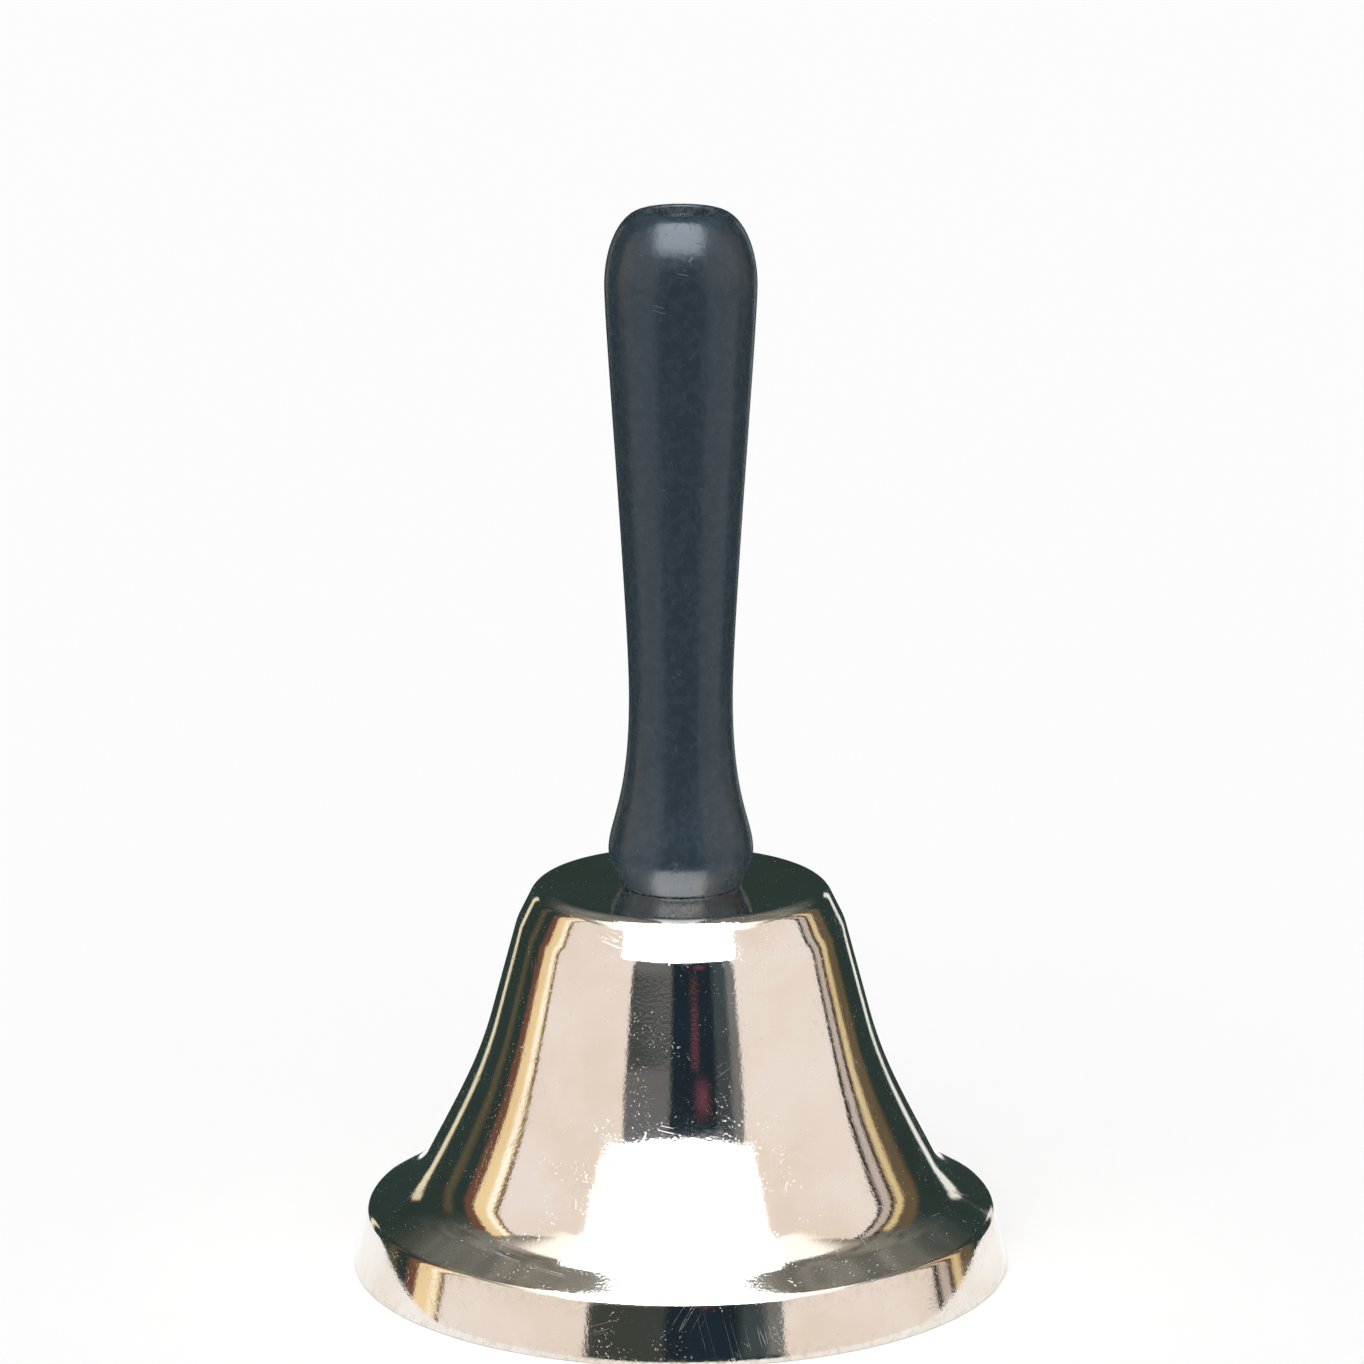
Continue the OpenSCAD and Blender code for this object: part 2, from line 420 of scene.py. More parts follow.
@dataclass(frozen=True)
class PaintedWood(Finish):
    """Satin blue-black paint on turned wood, with grain under it and small nicks."""

    name: str = "painted_wood"
    paint: Colour = (0.018, 0.031, 0.044)
    faded: Colour = (0.028, 0.044, 0.058)
    scuffed: Colour = (0.12, 0.135, 0.14)
    wood: Colour = (0.26, 0.17, 0.10)

    def dress(self, graph: Graph) -> dict[str, Feed]:
        """Wires paint over grain, with scuffs, nicks and worn edges.

        Args:
            graph: The material's nodes.

        Returns:
            What each input of the surface shader takes.
        """
        place = graph.place()
        wear = graph.mark(Mark.WEAR)
        cloud = graph.ramp(graph.noise(place, 1.6, 5.0, 0.6), 0.30, 0.78)
        grain = graph.noise(graph.stretched((0.0, 0.0, 0.0), (0.9, 0.9, 22.0)), 1, 3.0, 0.6, seed=1.0)
        peel = graph.noise(place, 1.1, 2.0, seed=2.0)
        marks = hairlines(graph, graph.skin_place(12.0), (78.0, 14.0, -55.0), 5.0, 0.02)
        flecks = graph.noise(graph.stretched((0.0, 12.0, 0.0), (0.8, 0.8, 2.2)), 1, 2.0, seed=8.0)
        nick = graph.ramp(flecks, 0.735, 0.76)
        rubbed = graph.ramp(graph.noise(place, 1.2, 4.0, 1.0, seed=6.0), 0.42, 0.62)
        worn = graph.math("MULTIPLY", wear, rubbed)
        colour = graph.mix(cloud, self.paint, self.faded)
        colour = graph.mix(graph.math("MULTIPLY", marks, 0.18), colour, self.scuffed)
        colour = graph.mix(graph.math("MULTIPLY", nick, 0.8), colour, self.scuffed)
        colour = graph.mix(graph.math("MULTIPLY", worn, 0.6), colour, self.scuffed)
        colour = graph.mix(graph.ramp(worn, 0.86, 0.98, 0.0, 0.7), colour, self.wood)
        rough = graph.math("MULTIPLY_ADD", cloud, 0.07, 0.20)
        rough = graph.math("MULTIPLY_ADD", grain, 0.08, rough)
        rough = graph.math("MULTIPLY_ADD", graph.math("MAXIMUM", worn, nick), 0.2, rough)
        skin = graph.bump(grain, 0.035)
        skin = graph.bump(peel, 0.034, skin)
        skin = graph.bump(graph.math("MAXIMUM", nick, marks), -0.03, skin)
        return {"Base Color": colour, "Roughness": rough, "Specular IOR Level": 0.5, "Normal": skin}


@dataclass(frozen=True)
class SteelFinish(Finish):
    """Plated or bare steel, from dull zinc to a bright turned ball."""

    name: str = "steel"
    light: Colour = (0.62, 0.63, 0.64)
    dark: Colour = (0.40, 0.40, 0.39)
    gloss: float = 0.28
    tool_marks: float = 0.01

    def dress(self, graph: Graph) -> dict[str, Feed]:
        """Wires spangled metal with tool marks that run round the piece.

        Args:
            graph: The material's nodes.

        Returns:
            What each input of the surface shader takes.
        """
        place = graph.place()
        wear = graph.mark(Mark.WEAR)
        spangle = graph.ramp(graph.noise(place, 1.8, 3.0, 0.8), 0.34, 0.68)
        soil = graph.ramp(graph.noise(place, 4.5, 4.0, 0.5, seed=3.0), 0.5, 0.74)
        rings = graph.noise(graph.combine(graph.mark(Mark.RUN), 0.0, 0.0), 0.22, 2.0, seed=5.0)
        colour = graph.mix(spangle, self.light, self.dark)
        soiled = tuple(0.5 * part for part in self.dark)
        colour = graph.mix(graph.math("MULTIPLY", soil, 0.45), colour, soiled)
        colour = graph.mix(graph.math("MULTIPLY", wear, 0.5), colour, (0.70, 0.69, 0.67))
        rough = graph.math("MULTIPLY_ADD", spangle, 0.10, self.gloss)
        rough = graph.math("MULTIPLY_ADD", soil, 0.16, rough)
        skin = graph.bump(rings, self.tool_marks)
        skin = graph.bump(graph.noise(place, 0.35, 2.0, seed=7.0), 0.005, skin)
        return {"Base Color": colour, "Metallic": 1.0, "Roughness": rough, "Normal": skin}


ZINC = SteelFinish("zinc_steel", (0.74, 0.75, 0.76), (0.46, 0.46, 0.45), 0.20)
DRAWN_WIRE = SteelFinish("drawn_wire", (0.56, 0.55, 0.53), (0.34, 0.32, 0.30), 0.26, 0.004)
TURNED_STEEL = SteelFinish("turned_steel", (0.70, 0.68, 0.66), (0.56, 0.54, 0.51), 0.14, 0.003)


# ---------------------------------------------------------------- outlines


@dataclass(frozen=True)
class Spot:
    """One point of a turned piece's half section, and how its skin is there."""

    radius: float
    height: float
    wear: float = 0.0
    inside: float = 0.0

    def step_to(self, other: "Spot") -> float:
        """Gives the distance to another spot in millimetres."""
        return math.hypot(other.radius - self.radius, other.height - self.height)

    def towards(self, other: "Spot", share: float) -> "Spot":
        """Gives the spot that lies part of the way to another one.

        Args:
            other: The spot to go towards.
            share: How much of the way, from 0 to 1. Wear fades fast away from either end.

        Returns:
            The new spot.
        """
        radius = self.radius + (other.radius - self.radius) * share
        height = self.height + (other.height - self.height) * share
        wear = max(self.wear * (1 - share) ** 6, other.wear * share**6)
        return Spot(radius, height, wear, self.inside)


@dataclass(frozen=True)
class Corner:
    """A corner of an outline before it is rounded."""

    radius: float
    height: float
    rounding: float = 0.0
    steps: int = 6
    wear: float = 0.0


def corner_arc(before: Corner, corner: Corner, after: Corner) -> list[Spot]:
    """Rounds one corner.

    Args:
        before: The corner before it.
        corner: The corner to round.
        after: The corner after it.

    Returns:
        The spots along the arc, or the corner itself where it stays sharp.
    """
    if corner.rounding <= 0:
        return [Spot(corner.radius, corner.height, corner.wear)]
    here = Vector((corner.radius, corner.height))
    back = (Vector((before.radius, before.height)) - here).normalized()
    ahead = (Vector((after.radius, after.height)) - here).normalized()
    half = back.angle(ahead) / 2
    centre = here + (back + ahead).normalized() * (corner.rounding / math.sin(half))
    start = here + back * (corner.rounding / math.tan(half)) - centre
    end = here + ahead * (corner.rounding / math.tan(half)) - centre
    first = math.atan2(start.y, start.x)
    turn = (math.atan2(end.y, end.x) - first + math.pi) % (2 * math.pi) - math.pi
    spots = []
    for step in range(corner.steps + 1):
        angle = first + turn * step / corner.steps
        reach = centre + Vector((math.cos(angle), math.sin(angle))) * corner.rounding
        spots.append(Spot(reach.x, reach.y, corner.wear))
    return spots


def rounded(corners: list[Corner], closed: bool = False) -> list[Spot]:
    """Rounds every corner of an outline.

    Args:
        corners: The corners in order.
        closed: Whether the last corner is joined to the first.

    Returns:
        The spots along the outline, which end where they began if it is closed.
    """
    count = len(corners)
    spots: list[Spot] = []
    for number, corner in enumerate(corners):
        if not closed and number in (0, count - 1):
            spots.append(Spot(corner.radius, corner.height, corner.wear))
        else:
            spots.extend(corner_arc(corners[number - 1], corner, corners[(number + 1) % count]))
    return spots + spots[:1] if closed else spots


def cubic(start: Pair, pull: Pair, draw: Pair, end: Pair, steps: int) -> list[Spot]:
    """Draws a smooth curve from start to end, leaving out the end itself.

    Args:
        start: Radius and height where it begins.
        pull: Where it heads first.
        draw: Where it arrives from.
        end: Radius and height where it ends.
        steps: How many spots it has.

    Returns:
        The spots along the curve.
    """
    spots = []
    for step in range(steps):
        t = step / steps
        s = 1 - t
        shares = (s * s * s, 3 * t * s * s, 3 * t * t * s, t * t * t)
        ways = (start, pull, draw, end)
        spots.append(Spot(*(sum(share * way[axis] for share, way in zip(shares, ways)) for axis in (0, 1))))
    return spots


def dense(spots: list[Spot], longest: float) -> list[Spot]:
    """Adds spots to an outline until its steps are short.

    Args:
        spots: The outline's spots.
        longest: The longest step allowed, in millimetres.

    Returns:
        The outline with the added spots.
    """
    filled = []
    for here, after in zip(spots, spots[1:]):
        parts = max(1, math.ceil(here.step_to(after) / longest))
        filled.extend(here.towards(after, part / parts) for part in range(parts))
    return filled + [spots[-1]]


# ---------------------------------------------------------------- geometry trees


class Tree(ABC):
    """A Geometry Nodes tree that is built once and used for several pieces."""

    name = "tree"
    inputs: tuple[tuple[str, str], ...] = ()

    def group(self) -> bpy.types.GeometryNodeTree:
        """Builds the tree with its named inputs, or gives the one already built.

        Returns:
            The tree.
        """
        made = bpy.data.node_groups.get(self.name)
        if made is None:
            made = bpy.data.node_groups.new(self.name, "GeometryNodeTree")
            for name, kind in (("Geometry", "NodeSocketGeometry"), *self.inputs):
                made.interface.new_socket(name=name, in_out="INPUT", socket_type=kind)
            made.interface.new_socket(name="Geometry", in_out="OUTPUT", socket_type="NodeSocketGeometry")
            graph = Graph(made)
            given = graph.node("NodeGroupInput").outputs
            graph.node("NodeGroupOutput", {0: self.wire(graph, given)})
        return made

    @abstractmethod
    def wire(self, graph: Graph, given: bpy.types.NodeOutputs) -> Socket:
        """Wires the tree.

        Args:
            graph: The tree's nodes.
            given: The sockets of its named inputs.

        Returns:
            The finished geometry.
        """

    def close(self, graph: Graph, shape: Socket, finish: Socket, inner: Socket | None = None) -> Socket:
        """Welds the shape, smooths its shading and gives it its finish.

        Args:
            graph: The tree's nodes.
            shape: The geometry so far.
            finish: The finish of the whole skin.
            inner: The finish of the spots that are marked as inside.

        Returns:
            The finished geometry.
        """
        welded = graph.node("GeometryNodeMergeByDistance", {"Geometry": shape, "Distance": 2e-6}).outputs[0]
        smooth = graph.node("GeometryNodeSetShadeSmooth", {"Geometry": welded}).outputs[0]
        real = graph.node("GeometryNodeRealizeInstances", {"Geometry": smooth}).outputs[0]
        dressed = graph.node("GeometryNodeSetMaterial", {"Geometry": real, "Material": finish}).outputs[0]
        if inner is not None:
            marked = graph.math("GREATER_THAN", self.read(graph, Mark.INSIDE), 0.5)
            feeds = {"Geometry": dressed, "Selection": marked, "Material": inner}
            dressed = graph.node("GeometryNodeSetMaterial", feeds).outputs[0]
        return dressed

    def read(self, graph: Graph, mark: Mark) -> Socket:
        """Reads one of the skin's measures."""
        return graph.node("GeometryNodeInputNamedAttribute", {"Name": mark.value}).outputs[0]

    def store(self, graph: Graph, shape: Socket, mark: Mark, value: Feed) -> Socket:
        """Keeps a measure on the skin for the finish to read."""
        feeds = {"Geometry": shape, "Name": mark.value, "Value": value}
        return graph.node("GeometryNodeStoreNamedAttribute", feeds).outputs[0]


class TurningTree(Tree):
    """Turns an outline about the upright axis, round or with flats, with a slight waviness."""

    name = "turning"
    inputs = (
        ("Steps round", "NodeSocketInt"),
        ("Flats", "NodeSocketFloat"),
        ("Across flats", "NodeSocketFloat"),
        ("Waviness", "NodeSocketFloat"),
        ("Wave size", "NodeSocketFloat"),
        ("Seed", "NodeSocketFloat"),
        ("Finish", "NodeSocketMaterial"),
        ("Inside finish", "NodeSocketMaterial"),
    )

    def wire(self, graph: Graph, given: bpy.types.NodeOutputs) -> Socket:
        """Wires a sheet whose columns go round and whose rows follow the outline's spots.

        Args:
            graph: The tree's nodes.
            given: The sockets of its named inputs.

        Returns:
            The finished geometry.
        """
        count = graph.node("GeometryNodeAttributeDomainSize", {0: given["Geometry"]}).outputs[0]
        columns = graph.math("ADD", given["Steps round"], 1.0)
        feeds = {"Size X": 1.0, "Size Y": 1.0, "Vertices X": columns, "Vertices Y": count}
        sheet = graph.node("GeometryNodeMeshGrid", feeds).outputs[0]
        across, along, _ = graph.split(graph.node("GeometryNodeInputPosition").outputs[0])
        turn = graph.math("MULTIPLY", graph.math("ADD", across, 0.5), math.tau)
        rows = graph.math("SUBTRACT", count, 1.0)
        row = graph.math("ROUND", graph.math("MULTIPLY", graph.math("ADD", along, 0.5), rows))
        for mark in (Mark.WEAR, Mark.RUN, Mark.INSIDE):
            feeds = {"Geometry": given["Geometry"], "Value": self.read(graph, mark), "Index": row}
            picked = graph.node("GeometryNodeSampleIndex", feeds).outputs[0]
            sheet = self.store(graph, sheet, mark, picked)
        place = graph.node("GeometryNodeInputPosition").outputs[0]
        sampler = graph.node("GeometryNodeSampleIndex", data_type="FLOAT_VECTOR")
        graph.tree.links.new(given["Geometry"], sampler.inputs["Geometry"])
        graph.tree.links.new(place, sampler.inputs["Value"])
        graph.tree.links.new(row, sampler.inputs["Index"])
        reach, _, height = graph.split(sampler.outputs[0])
        sector = graph.math("DIVIDE", math.tau, graph.math("MAXIMUM", given["Flats"], 4.0))
        half_sector = graph.math("MULTIPLY", sector, 0.5)
        swing = graph.math("SUBTRACT", graph.math("MODULO", turn, sector), half_sector)
        half_across = graph.math("MULTIPLY", given["Across flats"], 0.5)
        flat = graph.math("DIVIDE", half_across, graph.math("COSINE", swing))
        limit = graph.math("ADD", flat, graph.math("LESS_THAN", given["Flats"], 1.0))
        reach = graph.math("MINIMUM", reach, limit)
        spot = self.turned(graph, reach, turn, height)
        size = graph.math("DIVIDE", 1.0, given["Wave size"])
        feeds = {"Vector": spot, "W": given["Seed"], "Scale": size, "Detail": 0.0}
        wave = graph.node("ShaderNodeTexNoise", feeds, noise_dimensions="4D").outputs[0]
        inward = graph.math("MULTIPLY", graph.math("MULTIPLY", wave, given["Waviness"]), -1.0)
        reach = graph.math("MAXIMUM", graph.math("ADD", reach, inward), 0.0)
        feeds = {"Geometry": sheet, "Position": self.turned(graph, reach, turn, height)}
        shape = graph.node("GeometryNodeSetPosition", feeds).outputs[0]
        return self.close(graph, shape, given["Finish"], given["Inside finish"])

    def turned(self, graph: Graph, reach: Socket, turn: Socket, height: Socket) -> Socket:
        """Gives a place by its way round the upright axis.

        Args:
            graph: The tree's nodes.
            reach: The distance from the axis.
            turn: The turn round it.
            height: The height.

        Returns:
            The place.
        """
        x = graph.math("MULTIPLY", reach, graph.math("COSINE", turn))
        y = graph.math("MULTIPLY", reach, graph.math("SINE", turn))
        return graph.combine(x, y, height)


class WireTree(Tree):
    """Draws round wire along a path, as thick as the path says at each point."""

    name = "drawn_wire_path"
    inputs = (("Steps round", "NodeSocketInt"), ("Finish", "NodeSocketMaterial"))

    def wire(self, graph: Graph, given: bpy.types.NodeOutputs) -> Socket:
        """Wires a round section along the path, with its ends closed.

        Args:
            graph: The tree's nodes.
            given: The sockets of its named inputs.

        Returns:
            The finished geometry.
        """
        path = graph.node("GeometryNodeMeshToCurve", {"Mesh": given["Geometry"]}).outputs[0]
        run = graph.node("GeometryNodeSplineParameter").outputs["Length"]
        path = self.store(graph, path, Mark.RUN, run)
        feeds = {"Resolution": given["Steps round"], "Radius": 1.0}
        section = graph.node("GeometryNodeCurvePrimitiveCircle", feeds).outputs[0]
        thickness = self.read(graph, Mark.THICKNESS)
        feeds = {"Curve": path, "Profile Curve": section, "Scale": thickness, "Fill Caps": True}
        return self.close(graph, graph.node("GeometryNodeCurveToMesh", feeds).outputs[0], given["Finish"])


class ThreadTree(Tree):
    """Winds a screw thread up a rod and closes both ends with a small bevel."""

    name = "screw_thread"
    inputs = (
        ("Bottom", "NodeSocketFloat"),
        ("Top", "NodeSocketFloat"),
        ("Radius", "NodeSocketFloat"),
        ("Depth", "NodeSocketFloat"),
        ("Pitch", "NodeSocketFloat"),
        ("Steps round", "NodeSocketInt"),
        ("Finish", "NodeSocketMaterial"),
    )

    def wire(self, graph: Graph, given: bpy.types.NodeOutputs) -> Socket:
        """Wires a sheet whose rows climb by one pitch each turn, four rows to a thread.

        Args:
            graph: The tree's nodes.
            given: The sockets of its named inputs.

        Returns:
            The finished geometry.
        """
        span = graph.math("SUBTRACT", given["Top"], given["Bottom"])
        turns = graph.math("ADD", graph.math("CEIL", graph.math("DIVIDE", span, given["Pitch"])), 3.0)
        rows = graph.math("MULTIPLY", turns, 4.0)
        columns = graph.math("ADD", given["Steps round"], 1.0)
        lines = graph.math("ADD", rows, 1.0)
        feeds = {"Size X": 1.0, "Size Y": 1.0, "Vertices X": columns, "Vertices Y": lines}
        sheet = graph.node("GeometryNodeMeshGrid", feeds).outputs[0]
        across, along, _ = graph.split(graph.node("GeometryNodeInputPosition").outputs[0])
        share = graph.math("ADD", across, 0.5)
        row = graph.math("ROUND", graph.math("MULTIPLY", graph.math("ADD", along, 0.5), rows))
        climb = graph.math("SUBTRACT", graph.math("ADD", share, graph.math("DIVIDE", row, 4.0)), 1.5)
        free = graph.math("ADD", given["Bottom"], graph.math("MULTIPLY", climb, given["Pitch"]))
        height = graph.math("MINIMUM", graph.math("MAXIMUM", free, given["Bottom"]), given["Top"])
        groove = graph.math("COSINE", graph.math("MULTIPLY", row, math.pi / 2))
        groove = graph.math("MULTIPLY", graph.math("MULTIPLY_ADD", groove, 0.5, 0.5), given["Depth"])
        reach = graph.math("SUBTRACT", given["Radius"], groove)
        core = graph.math("SUBTRACT", given["Radius"], graph.math("MULTIPLY", given["Depth"], 1.1))
        for edge, sign in ((given["Top"], 1.0), (given["Bottom"], -1.0)):
            inset = graph.math("MULTIPLY", graph.math("SUBTRACT", edge, height), sign)
            reach = graph.math("MINIMUM", reach, graph.math("ADD", core, inset))
        over = graph.math("ABSOLUTE", graph.math("SUBTRACT", free, height))
        past = graph.math("LESS_THAN", over, graph.math("MULTIPLY", given["Pitch"], 0.2499))
        reach = graph.math("MULTIPLY", reach, past)
        turn = graph.math("MULTIPLY", share, math.tau)
        x = graph.math("MULTIPLY", reach, graph.math("COSINE", turn))
        y = graph.math("MULTIPLY", reach, graph.math("SINE", turn))
        sheet = self.store(graph, sheet, Mark.RUN, height)
        feeds = {"Geometry": sheet, "Position": graph.combine(x, y, height)}
        return self.close(graph, graph.node("GeometryNodeSetPosition", feeds).outputs[0], given["Finish"])


# ---------------------------------------------------------------- making pieces


def seed_object(
    name: str, places: list[Vector], edges: list[tuple[int, int]], marks: dict[Mark, list[float]]
) -> bpy.types.Object:
    """Makes the object that a tree grows a shape on.

    Args:
        name: The piece's name.
        places: Its points, in metres.
        edges: Which points are joined.
        marks: One number for each point, for each measure.

    Returns:
        The object, in the scene.
    """
    mesh = bpy.data.meshes.new(name)
    mesh.from_pydata([tuple(place) for place in places], edges, [])
    for mark, values in marks.items():
        mesh.attributes.new(mark.value, "FLOAT", "POINT").data.foreach_set("value", values)
    made = bpy.data.objects.new(name, mesh)
    bpy.context.scene.collection.objects.link(made)
    return made


def drop_empty_slots(mesh: bpy.types.Mesh) -> None:
    """Takes away the material slots that hold nothing.

    Args:
        mesh: The piece's mesh.
    """
    for number in reversed(range(len(mesh.materials))):
        if mesh.materials[number] is None:
            mesh.materials.pop(index=number)


def grow(made: bpy.types.Object, tree: Tree, settings: dict[str, object]) -> bpy.types.Object:
    """Grows the tree's shape on the object and leaves it as a plain mesh.

    Args:
        made: The object with its points and measures.
        tree: The tree to use.
        settings: What each named input takes.

    Returns:
        The same object with its final mesh.
    """
    group = tree.group()
    modifier = made.modifiers.new(tree.name, "NODES")
    modifier.node_group = group
    for item in group.interface.items_tree:
        if item.in_out == "INPUT" and item.name in settings:
            modifier[item.identifier] = settings[item.name]
    depsgraph = bpy.context.evaluated_depsgraph_get()
    mesh = bpy.data.meshes.new_from_object(
        made.evaluated_get(depsgraph), preserve_all_data_layers=True, depsgraph=depsgraph
    )
    made.modifiers.remove(modifier)
    made.data = mesh
    mesh.name = made.name
    skin = bmesh.new()
    skin.from_mesh(mesh)
    bmesh.ops.recalc_face_normals(skin, faces=skin.faces)
    skin.to_mesh(mesh)
    skin.free()
    drop_empty_slots(mesh)
    return made


@dataclass(frozen=True)
class Turning:
    """How finely an outline is turned, and how true it runs."""

    finish: Finish
    inside: Finish | None = None
    steps: int = 96
    flats: int = 0
    across: float = 1.0
    waviness: float = 0.0
    wave: float = 10.0
    seed: float = 1.0

    def make(self, name: str, spots: list[Spot]) -> bpy.types.Object:
        """Turns an outline into a piece.

        Args:
            name: The piece's name.
            spots: Its half section.

        Returns:
            The piece.
        """
        run = [0.0]
        for here, after in zip(spots, spots[1:]):
            run.append(run[-1] + here.step_to(after) * MM)
        marks = {
            Mark.WEAR: [spot.wear for spot in spots],
            Mark.RUN: run,
            Mark.INSIDE: [spot.inside for spot in spots],
        }
        places = [Vector((spot.radius, 0.0, spot.height)) * MM for spot in spots]
        edges = [(number, number + 1) for number in range(len(spots) - 1)]
        settings = {
            "Steps round": self.steps,
            "Flats": float(self.flats),
            "Across flats": self.across * MM,
            "Waviness": self.waviness * MM,
            "Wave size": self.wave * MM,
            "Seed": self.seed,
            "Finish": self.finish.material(),
            "Inside finish": (self.inside or self.finish).material(),
        }
        return grow(seed_object(name, places, edges, marks), TurningTree(), settings)


@dataclass(frozen=True)
class WirePath:
    """A path for bent wire: its points, and the wire's radius at each, in millimetres."""

    points: list[Vector]
    radii: list[float]

    def make(self, name: str, finish: Finish, steps: int = 28) -> bpy.types.Object:
        """Draws the wire along the path.

        Args:
            name: The piece's name.
            finish: The wire's finish.
            steps: How many sides its round section has.

        Returns:
            The piece.
        """
        places = [point * MM for point in self.points]
        edges = [(number, number + 1) for number in range(len(places) - 1)]
        marks = {Mark.THICKNESS: [radius * MM for radius in self.radii]}
        settings = {"Steps round": steps, "Finish": finish.material()}
        return grow(seed_object(name, places, edges, marks), WireTree(), settings)


def joined(pieces: list[bpy.types.Object]) -> bpy.types.Object:
    """Joins several meshes into the first one.

    Args:
        pieces: The objects to join.

    Returns:
        The first object, which holds them all.
    """
    bpy.context.view_layer.update()
    with bpy.context.temp_override(active_object=pieces[0], selected_editable_objects=pieces):
        bpy.ops.object.join()
    return pieces[0]


def fit_to_frame(piece: bpy.types.Object, node: str, body: Body) -> None:
    """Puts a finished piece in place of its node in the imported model.

    Args:
        piece: The finished piece.
        node: The node that it stands for.
        body: The body that it moves with.
    """
    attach(piece, body.value)
    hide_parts(node)
    low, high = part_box(node)
    LOG.info(
        "%s: %d faces, rides on %s, node %s..%s mm",
        piece.name,
        len(piece.data.polygons),
        body.value,
        [round(value / MM, 1) for value in low],
        [round(value / MM, 1) for value in high],
    )


# ---------------------------------------------------------------- the cup


@dataclass
class Cup:
    """The spun metal cup, with its lip band, ledge, flare and flat crown."""

    mouth_radius: float = 58.25
    height: float = 69.8
    wall: float = 1.5
    lip_height: float = 10.75
    lip_draw: float = 2.45
    lip_round: float = 2.0
    ledge_in: float = 8.6
    ledge_rise: float = 4.95
    ledge_round: float = 14.0
    bow_radius: float = 41.0
    bow_height: float = 27.25
    bow_round: float = 190.0
    flare_radius: float = 35.4
    flare_height: float = 39.1
    flare_round: float = 80.0
    shoulder_radius: float = 29.03
    shoulder_height: float = 62.95
    shoulder_round: float = 10.0
    crown_radius: float = 25.65
    crown_round: float = 3.6
    hole_radius: float = 2.65
    edge_round: float = 0.4
    edge_wear: float = 0.45
    mouth_spots: int = 8
    longest_step: float = 1.3
    steps_round: int = 192

    def corners(self) -> list[Corner]:
        """Gives the corners of the outside, from the mouth to the hole in the crown.

        Returns:
            The corners.
        """
        shoulder = self.mouth_radius - self.lip_draw
        return [
            Corner(self.mouth_radius, 0.0),
            Corner(shoulder, self.lip_height, self.lip_round, 14, 0.35),
            Corner(shoulder - self.ledge_in, self.lip_height + self.ledge_rise, self.ledge_round, 18),
            Corner(self.bow_radius, self.bow_height, self.bow_round, 8),
            Corner(self.flare_radius, self.flare_height, self.flare_round, 24),
            Corner(self.shoulder_radius, self.shoulder_height, self.shoulder_round, 6),
            Corner(self.crown_radius, self.height, self.crown_round, 20, 0.15),
            Corner(self.hole_radius, self.height),
        ]

    def inner_corners(self) -> list[Corner]:
        """Gives the corners of the inside: the outside moved in by the wall, on the same arcs.

        Returns:
            The corners, from the mouth up.
        """
        outer = self.corners()
        ways = [Vector((corner.radius, corner.height)) for corner in outer]
        sides = [(after - here).normalized() for here, after in zip(ways, ways[1:])]
        lefts = [Vector((-side.y, side.x)) for side in sides]
        first = ways[0] + Vector((self.wall / lefts[0].x, 0.0))
        inner = [Corner(first.x, first.y)]
        for number in range(1, len(ways) - 1):
            before, after = lefts[number - 1], lefts[number]
            middle = (before + after).normalized()
            moved = ways[number] + middle * (self.wall / middle.dot(before))
            bend = math.copysign(1.0, sides[number - 1].cross(sides[number]))
            rounding = outer[number].rounding - self.wall * bend
            inner.append(Corner(moved.x, moved.y, rounding, max(8, outer[number].steps * 2 // 3)))
        inner.append(Corner(ways[-1].x, ways[-1].y - self.wall))
        return inner

    def outline(self) -> list[Spot]:
        """Gives the whole half section, up the outside, down the inside and closed across the mouth.

        Returns:
            The spots, of which those inside are marked.
        """
        outside = self.corners()
        inside = self.inner_corners()
        outside[0] = replace(outside[0], rounding=self.edge_round, steps=5, wear=self.edge_wear)
        inside[0] = replace(inside[0], rounding=self.edge_round, steps=5, wear=self.edge_wear)
        corners = outside + inside[::-1]
        spots = dense(rounded(corners, closed=True), self.longest_step)
        at_hole = self.hole_radius + 0.001
        turn_in = next(number for number, spot in enumerate(spots) if spot.radius < at_hole)
        for number in range(turn_in + 1, len(spots) - self.mouth_spots):
            spots[number] = replace(spots[number], inside=1.0)
        return spots

    def build(self) -> None:
        """Makes the cup and puts it on the frame."""
        finishes = (PolishedNickel(), DullNickel())
        turning = Turning(*finishes, self.steps_round, waviness=0.022, wave=14.0, seed=3.0)
        shell = turning.make("cup_shell", self.outline())
        fit_to_frame(shell, "bell_cup", Body.BELL)


# ---------------------------------------------------------------- the handle


